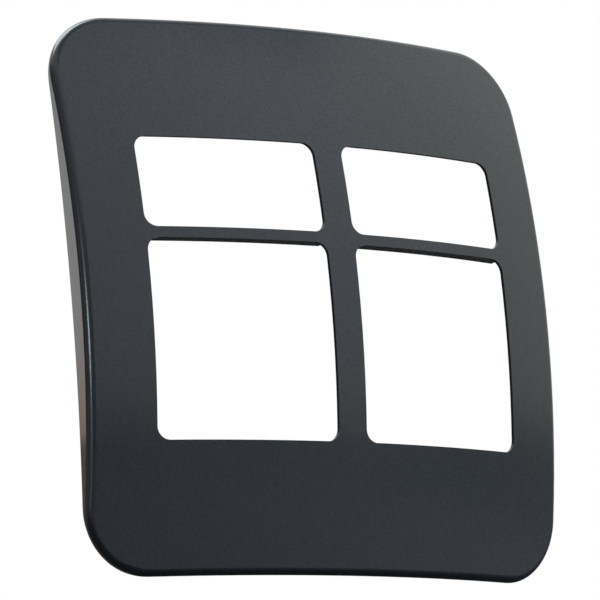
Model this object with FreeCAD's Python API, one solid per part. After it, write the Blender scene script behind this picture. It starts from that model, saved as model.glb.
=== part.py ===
import FreeCAD, Part
import math
import os

# Cover plate for a grid of switch modules, pressed from one sheet of steel.
# The sheet is domed like a piece of a ball, pierced with four windows, and folded back all round
# into a skirt. The skirt stands square to the face, so it leans inwards on its way to the wall and
# springs over the edge of the frame behind it. A strip of the sheet is left on the top edge of each
# tall window and folded back, and this tab stiffens the thin bar above it.
# Millimetres. The wall is the plane y = 0 and the origin is the middle of the plate on it.
# X runs across, Z up, and the front faces -Y.

# The sheet and its outline
sheet = 0.9              # thickness of the steel with its paint
plate_size = 127.0       # widest width and height, over the rounded rim
dome_radius = 235.0      # outside of the face
corner_radius = 14.5     # of the outline's corners, over the rounded rim
rim_bend = 1.0           # inside of the fold between the face and the skirt
corner_skirt = 0.1       # what is left of the skirt at the tips of the corners

# The windows, the same on the left as on the right
window_width = 44.8
tall_window = 45.1       # height of the lower windows
short_window = 21.2      # height of the upper windows
mullion = 7.4            # between the left and the right windows
bar = 2.5                # between the upper and the lower windows
window_corner = 3.0      # radius of the windows' corners
windows_raised = -0.2    # middle of the four windows above the middle of the plate

# The stiffening tabs
tab_depth = 3.5          # from the face to the tab's free edge
tab_gap = 0.2            # from the side of a tall window to the end of its tab
tab_round = 2.2          # of the tab's ends, where it was cut free from the window's corners

overrun = 6.0            # how far working shapes run past the sheet before they are trimmed

ACROSS = FreeCAD.Vector(1, 0, 0)
OUT = FreeCAD.Vector(0, -1, 0)
UP = FreeCAD.Vector(0, 0, 1)

# The rim's fold is a tube whose middle keeps the same distance from the centre of the dome.
# Seen from there, the sides and the corners are circles that touch, and these are their angles.
rim_radius = rim_bend + sheet
rim_reach = dome_radius - rim_radius
side_angle = math.asin((plate_size / 2 - rim_radius) / rim_reach)
corner_angle = math.asin((corner_radius - rim_radius) / rim_reach)
corner_across = math.sin(side_angle - corner_angle)
corner_out = math.sqrt(1 - 2 * corner_across ** 2)

# The corners lie furthest back, so where the fold ends at their tips decides how deep the plate is.
tip_angle = math.acos(corner_out) + corner_angle
tip_back = rim_reach * math.cos(tip_angle) - rim_radius * math.sin(tip_angle)
dome_centre = FreeCAD.Vector(0, tip_back - corner_skirt, 0)
plate_depth = dome_radius - dome_centre.y
deep = plate_depth + overrun

# Where the sides and the corners begin and end, as directions from the centre of the dome
corner_middle = ACROSS * corner_across + OUT * corner_out + UP * corner_across
corner_to_side = (ACROSS - corner_middle * corner_across).normalize()
corner_to_top = (UP - corner_middle * corner_across).normalize()
corner_turn = math.degrees(math.acos(corner_to_side.dot(corner_to_top)))
side_rise = math.degrees(math.atan2(corner_across, corner_out))


def swung(start, outward, angle):
    """The direction that is turned by angle from start towards outward, which is square to it."""
    return start * math.cos(angle) + outward * math.sin(angle)


def turned(shape, axis, degrees):
    """A copy turned about an axis through the centre of the dome."""
    copy = shape.copy()
    copy.rotate(dome_centre, axis, degrees)
    return copy


def all_round(side, corner):
    """What a side and a corner sweep out when they are spun, in order round the whole plate.

    The side is spun about the axis that points out of it, and the corner about its own middle. They
    meet where the circles of the rim touch, so one runs smoothly into the other.
    """
    side = turned(side, ACROSS, -side_rise).revolve(dome_centre, ACROSS, 2 * side_rise)
    corner = corner.revolve(dome_centre, corner_middle, corner_turn)
    return [turned(piece, OUT, 90 * turns) for turns in range(4) for piece in (side, corner)]


def domed_face(radius):
    """One side of the face: the piece of a ball inside the circles where the rim begins."""
    ball = Part.Sphere()
    ball.Center = dome_centre
    ball.Radius = radius
    outline = all_round(
        Part.Vertex(dome_centre + swung(OUT, ACROSS, side_angle) * radius),
        Part.Vertex(dome_centre + swung(corner_middle, corner_to_side, corner_angle) * radius))
    face = Part.Face(ball, Part.Wire(outline))
    face.validate()
    return face


def fold_section(start, outward, angle):
    """The outline of the sheet in section where the rim is folded back, left open towards the face.

    The middle of the fold lies in the direction that is turned by angle from start towards outward.
    The sheet turns a quarter round it and runs straight on, so it ends square to the domed face.
    """
    along = swung(start, outward, angle)
    square = swung(outward, -start, angle)
    halfway = (along + square).normalize()
    middle = dome_centre + along * rim_reach
    floor = dome_centre + along * (dome_radius - deep)
    inner, outer = rim_bend, rim_radius
    return Part.Wire([
        Part.Arc(middle + along * outer, middle + halfway * outer, middle + square * outer).toShape(),
        Part.makeLine(middle + square * outer, floor + square * outer),
        Part.makeLine(floor + square * outer, floor + square * inner),
        Part.makeLine(floor + square * inner, middle + square * inner),
        Part.Arc(middle + square * inner, middle + halfway * inner, middle + along * inner).toShape(),
    ])


def edges_along(block, direction):
    """The straight edges of a block that run in one direction."""
    return [edge for edge in block.Edges if abs(edge.tangentAt(edge.FirstParameter).dot(direction)) > 0.9]


def punch(left, bottom, height):
    """The tool that pierces one window from front to back, with rounded corners."""
    front = FreeCAD.Vector(left, -plate_depth - overrun, bottom)
    block = Part.makeBox(window_width, plate_depth + 2 * overrun, height, front)
    return block.makeFillet(window_corner, edges_along(block, OUT))


# The blank: the front and the back of the domed face, joined by the rim that is folded back all
# round, and trimmed at the wall
rim = all_round(
    fold_section(OUT, ACROSS, side_angle),
    fold_section(corner_middle, corner_to_side, corner_angle))
surfaces = [domed_face(dome_radius), domed_face(dome_radius - sheet)]
surfaces += [surface for piece in rim for surface in piece.Faces]
skin = Part.makeShell(surfaces)
skin.sewShape()
in_front_of_wall = Part.makeBox(
    2 * plate_size, plate_depth + overrun, 2 * plate_size,
    FreeCAD.Vector(-plate_size, -plate_depth - overrun, -plate_size))
plate = Part.makeSolid(skin).common(in_front_of_wall)

# The four windows, pierced straight through
left_windows = -mullion / 2 - window_width
right_windows = mullion / 2
tall_bottom = windows_raised - (tall_window + bar + short_window) / 2
tall_top = tall_bottom + tall_window
short_bottom = tall_top + bar
for left in (left_windows, right_windows):
    plate = plate.cut(punch(left, tall_bottom, tall_window))
    plate = plate.cut(punch(left, short_bottom, short_window))

# The tabs: each lies level with the top edge of its window and keeps the same depth along the dome
tab_floor = dome_centre + UP * tall_top
edge_reach = math.sqrt(dome_radius ** 2 - tall_top ** 2)
strip = Part.makeCylinder(edge_reach - sheet / 2, sheet, tab_floor, UP)
strip = strip.cut(Part.makeCylinder(edge_reach - tab_depth, sheet, tab_floor, UP))
for left in (left_windows, right_windows):
    front = FreeCAD.Vector(left + tab_gap, -plate_depth - overrun, tall_top)
    between_sides = Part.makeBox(window_width - 2 * tab_gap, plate_depth + overrun, sheet, front)
    tab = strip.common(between_sides)
    root_corners = [edge for edge in edges_along(tab, UP)
                    if (edge.CenterOfMass - dome_centre).Length > edge_reach - tab_depth / 2]
    plate = plate.fuse(tab.makeFillet(tab_round, root_corners))

plate = plate.removeSplitter().Solids[0]
os.makedirs("parts", exist_ok=True)
plate.exportStep("parts/cover_plate.step")
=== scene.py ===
import bpy
import math
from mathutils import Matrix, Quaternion, Vector

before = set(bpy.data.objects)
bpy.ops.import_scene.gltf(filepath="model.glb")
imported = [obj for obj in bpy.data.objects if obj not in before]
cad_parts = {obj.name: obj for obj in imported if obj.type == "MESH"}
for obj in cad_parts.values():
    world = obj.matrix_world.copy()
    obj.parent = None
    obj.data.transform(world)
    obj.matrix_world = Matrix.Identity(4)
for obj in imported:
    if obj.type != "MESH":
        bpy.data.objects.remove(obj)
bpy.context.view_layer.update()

# Cover plate
# One sheet of mild steel, domed, pierced with the windows and folded back into its skirt and tabs.
# It is sprayed with dry charcoal powder on both sides and baked, and nothing else is fixed to it.
MM = 0.001
coat_colour = "#353C43"
coat_lean_colour = "#2B3238"      # between the grains of powder
coat_index = 1.42                 # of refraction
shiny_coat = 0.18                 # roughness
dull_coat = 0.25
dull_patch = 18 * MM              # from one duller patch of the coat to the next
orange_peel = 0.9 * MM            # from one swell of the baked coat to the next
swell_height = 0.02 * MM
swell_strength = 0.25
grain_pitch = 0.5 * MM            # drawn coarser than the real grains, which wouldn't show
grain_height = 0.01 * MM
grain_strength = 0.3
grain_low, grain_high = 0.35, 0.65    # the heights between which the colour changes


def linear(code):
    """An sRGB hex colour as linear red, green, blue and full alpha."""
    parts = [int(code[i:i + 2], 16) / 255 for i in (1, 3, 5)]
    return [p / 12.92 if p < 0.04045 else ((p + 0.055) / 1.055) ** 2.4 for p in parts] + [1.0]


def add(tree, kind, links=(), values=(), **settings):
    """Adds a node, sets its properties and unlinked sockets, and links other sockets into it."""
    made = tree.nodes.new(kind)
    for name, value in settings.items():
        setattr(made, name, value)
    for socket, value in dict(values).items():
        made.inputs[socket].default_value = value
    for socket, source in dict(links).items():
        tree.links.new(source, made.inputs[socket])
    return made


def blend(tree, share, first, second):
    """A socket whose colour goes from the first to the second as the share goes from 0 to 1."""
    return add(tree, "ShaderNodeMix", {"Factor": share}, {"A": linear(first), "B": linear(second)},
               data_type="RGBA").outputs["Result"]


# Baked powder coat: a closed skin of plastic with a fine satin grain over a soft orange peel.
# The eye gets a broad, dull gloss on the face and a bright one where the skirt is seen edge on.
powder_coat = bpy.data.materials.new("charcoal_powder_coat")
powder_coat.use_nodes = True
tree = powder_coat.node_tree
tree.nodes.clear()
place = add(tree, "ShaderNodeTexCoord").outputs["Object"]
patches = add(tree, "ShaderNodeTexNoise", {"Vector": place},
              {"Scale": 1 / dull_patch, "Detail": 2.0})
peel = add(tree, "ShaderNodeTexNoise", {"Vector": place},
           {"Scale": 1 / orange_peel, "Detail": 1.0})
grain = add(tree, "ShaderNodeTexNoise", {"Vector": place},
            {"Scale": 1 / grain_pitch, "Detail": 2.0})
speckle = add(tree, "ShaderNodeMapRange", {"Value": grain.outputs["Fac"]},
              {"From Min": grain_low, "From Max": grain_high})
tint = blend(tree, speckle.outputs["Result"], coat_colour, coat_lean_colour)
dullness = add(tree, "ShaderNodeMapRange", {"Value": patches.outputs["Fac"]},
               {"To Min": shiny_coat, "To Max": dull_coat})
swell = add(tree, "ShaderNodeBump", {"Height": peel.outputs["Fac"]},
            {"Strength": swell_strength, "Distance": swell_height})
relief = add(tree, "ShaderNodeBump",
             {"Height": grain.outputs["Fac"], "Normal": swell.outputs["Normal"]},
             {"Strength": grain_strength, "Distance": grain_height})
skin = add(tree, "ShaderNodeBsdfPrincipled",
           {"Base Color": tint, "Roughness": dullness.outputs["Result"],
            "Normal": relief.outputs["Normal"]}, {"IOR": coat_index})
add(tree, "ShaderNodeOutputMaterial", {"Surface": skin.outputs["BSDF"]})

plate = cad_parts["cover_plate"]
plate.data.materials.clear()
plate.data.materials.append(powder_coat)

# Floor
# A plain pale studio floor of matt paint. The photograph looks up at the plate, so the floor lies
# below the camera. It shows pale but throws little light back up, and it keeps the plate's shadow.
floor_drop = 0.30                 # metres below the middle of the plate
floor_reach = 6.0                 # metres from there to each side
floor_pale = "#C4C4C2"
floor_bounce = "#505254"
floor_dullness = 0.9


def seen_directly(tree):
    """A socket that is 1 for what is seen, also in gloss or through glass, and 0 for light."""
    path = add(tree, "ShaderNodeLightPath").outputs
    shown = add(tree, "ShaderNodeMath", {0: path["Is Camera Ray"], 1: path["Is Glossy Ray"]},
                operation="MAXIMUM")
    shown = add(tree, "ShaderNodeMath",
                {0: shown.outputs["Value"], 1: path["Is Transmission Ray"]},
                operation="MAXIMUM")
    return shown.outputs["Value"]


bpy.ops.mesh.primitive_plane_add(size=2 * floor_reach, location=(0, 0, -floor_drop))
floor = bpy.context.object
floor.name = "studio_floor"
floor_paint = bpy.data.materials.new("floor_paint")
floor_paint.use_nodes = True
tree = floor_paint.node_tree
floor_tint = blend(tree, seen_directly(tree), floor_bounce, floor_pale)
floor_skin = tree.nodes["Principled BSDF"]
floor_skin.inputs["Roughness"].default_value = floor_dullness
tree.links.new(floor_tint, floor_skin.inputs["Base Color"])
floor.data.materials.append(floor_paint)

# Cards
# Felt cards round the plate, as a photographer sets them up, for its gloss to mirror. Nothing but
# the gloss shows them, and they throw no shadow. Their sizes and places are in metres.
screen_felt = "#C8CCD2"
black_felt = "#0A0A0A"
flag_felt = "#1C1C1C"
brown_felt = "#C8AC96"
tan_felt = "#F0C8A0"
warm_felt = "#E8D8C0"
grey_felt = "#9A9EA2"
screen_left = -1.6
screen_front = -3.0
screen_top = 1.2
sheet_height = 1 * MM - floor_drop    # just above the floor
sheets_meet = -0.4                # how far in front of the plate
flag_height = 1.0


def upright(start, end, bottom, top):
    """The corners of a card that stands on the line from start to end, seen from above."""
    return [(*start, bottom), (*end, bottom), (*end, top), (*start, top)]


def level(near_left, far_right, height):
    """The corners of a card that lies level."""
    (left, near), (right, far) = near_left, far_right
    return [(left, near, height), (right, near, height), (right, far, height), (left, far, height)]


def card(name, colour, corners):
    """A flat felt card."""
    mesh = bpy.data.meshes.new(name)
    mesh.from_pydata(corners, [], [(0, 1, 2, 3)])
    felt = bpy.data.materials.new(name + "_felt")
    felt.use_nodes = True
    felt_skin = felt.node_tree.nodes["Principled BSDF"]
    felt_skin.inputs["Base Color"].default_value = linear(colour)
    felt_skin.inputs["Roughness"].default_value = 1.0
    mesh.materials.append(felt)
    made = bpy.data.objects.new(name, mesh)
    bpy.context.scene.collection.objects.link(made)
    made.visible_camera = False
    made.visible_diffuse = False
    made.visible_shadow = False


# Two pale screens, to the left of the plate and behind the camera, darken the left rim a little.
card("left_screen", screen_felt,
     upright((screen_left, screen_front), (screen_left, 1.2), -floor_drop, screen_top))
card("rear_screen", screen_felt,
     upright((-0.25, screen_front), (screen_left, screen_front), -floor_drop, screen_top))
# A black wing behind the plate on the left darkens the cut edges of the windows.
card("black_wing", black_felt,
     upright((screen_left, 1.34), (-0.72, 1.97), -floor_drop, screen_top))
# A black sheet on the floor darkens the bottom rim and the tabs, and a grey one in front of it
# darkens the lower part of the face.
card("black_sheet", black_felt,
     level((-floor_reach, sheets_meet), (floor_reach, floor_reach), sheet_height))
card("grey_sheet", grey_felt,
     level((-floor_reach, -floor_reach), (floor_reach, sheets_meet), sheet_height))
# A dark flag above the camera draws the thin line along the top edge.
card("dark_flag", flag_felt, level((-0.5, -0.9), (0.9, -0.15), flag_height))
# A low warm screen far to the right dulls the lower right of the face.
card("right_screen", warm_felt, upright((3.0, screen_front), (3.0, 1.0), -floor_drop, 0.1))
# A small brown card close behind the plate warms and darkens the lowest part of the left skirt.
card("brown_card", brown_felt, upright((-0.12, 0.06), (-0.03, 0.06), -0.15, -0.0195))
# A tan screen further behind takes a little glare off that skirt, and more the lower it is.
card("tan_screen", tan_felt, upright((-0.6, 1.1), (0.25, 1.1), -floor_drop, 0.221))

# Light
# A white room that lights the plate softly from all round. It is seen and mirrored as white, and as
# a warmer white in front on the right, where the right side of the face mirrors it.
fill_colour = "#EAF1FF"
fill_strength = 0.37
room_white = "#FFFFFF"
room_warm_white = "#F4F3E0"
warm_bearing = (0.94, -0.34, 0)   # the level direction in which the room is warmest
warm_edge = 0.925                 # cosine of the angle from it where the warmth begins
warm_core = 0.985                 # and where it is full
room = bpy.data.worlds.new("white_room")
bpy.context.scene.world = room
room.use_nodes = True
tree = room.node_tree
tree.nodes.clear()
fill = add(tree, "ShaderNodeBackground",
           values={"Color": linear(fill_colour), "Strength": fill_strength})
aim = add(tree, "ShaderNodeTexCoord").outputs["Generated"]
flat_aim = add(tree, "ShaderNodeVectorMath", {0: aim}, {1: (1, 1, 0)}, operation="MULTIPLY")
bearing = add(tree, "ShaderNodeVectorMath", {0: flat_aim.outputs["Vector"]}, operation="NORMALIZE")
nearness = add(tree, "ShaderNodeVectorMath", {0: bearing.outputs["Vector"]}, {1: warm_bearing},
               operation="DOT_PRODUCT")
warmth = add(tree, "ShaderNodeMapRange", {"Value": nearness.outputs["Value"]},
             {"From Min": warm_edge, "From Max": warm_core})
room_tint = blend(tree, warmth.outputs["Result"], room_white, room_warm_white)
white = add(tree, "ShaderNodeBackground", {"Color": room_tint}, {"Strength": 1.0})
both = add(tree, "ShaderNodeMixShader", {0: seen_directly(tree), 1: fill.outputs["Background"],
                                         2: white.outputs["Background"]})
add(tree, "ShaderNodeOutputWorld", {"Surface": both.outputs["Shader"]})

warm_white = "#FFFBF2"
cool_white = "#ECF8FF"


def panel(name, place, width, height, watts, colour):
    """A soft panel of light that faces the plate, with its place and size in metres."""
    lamp = bpy.data.lights.new(name, "AREA")
    lamp.shape = "RECTANGLE"
    lamp.size = width
    lamp.size_y = height
    lamp.energy = watts
    lamp.color = linear(colour)[:3]
    made = bpy.data.objects.new(name, lamp)
    made.location = place
    made.rotation_mode = "QUATERNION"
    made.rotation_quaternion = (-made.location).to_track_quat("-Z", "Y")
    bpy.context.scene.collection.objects.link(made)
    return made


# The key light is a broad panel in front of the plate, above it and to its right.
key = panel("key_panel", (0.97, -0.8, 1.52), width=1.6, height=1.6, watts=69.0, colour=warm_white)
key.visible_glossy = False
# Three smaller panels are only mirrored. One draws the bright line along the left rim, a faint one
# its lower end, and one the outline of the top left corner.
rim_line = panel("rim_panel", (-1.24, -0.60, 0.188), width=0.3, height=0.06, watts=3.5,
                 colour=cool_white)
rim_line.visible_diffuse = False
rim_tail = panel("low_rim_panel", (-1.26, -0.61, -0.165), width=0.3, height=0.16, watts=0.26,
                 colour=cool_white)
rim_tail.visible_diffuse = False
top_line = panel("top_panel", (-0.25, 0.4, 1.2), width=0.8, height=1.0, watts=20.0,
                 colour=cool_white)
top_line.visible_diffuse = False

# Camera
# It stands to the left of the plate and below it, and leans a little to the right.
view_azimuth = math.radians(-34.92)
view_elevation = math.radians(-12.45)
view_lean = math.radians(5.19)
view_distance = 1.027
view_middle = Vector((-4.49, -5.55, -0.06)) * MM
back = Vector((math.sin(view_azimuth) * math.cos(view_elevation),
               -math.cos(view_azimuth) * math.cos(view_elevation), math.sin(view_elevation)))
lens = bpy.data.cameras.new("camera")
lens.lens = 272.8
lens.sensor_width = 36.0
camera = bpy.data.objects.new("camera", lens)
camera.location = view_middle + back * view_distance
camera.rotation_mode = "QUATERNION"
camera.rotation_quaternion = (-back).to_track_quat("-Z", "Y") @ Quaternion((0, 0, 1), -view_lean)
bpy.context.scene.collection.objects.link(camera)
bpy.context.scene.camera = camera

bpy.context.scene.view_settings.view_transform = "Standard"
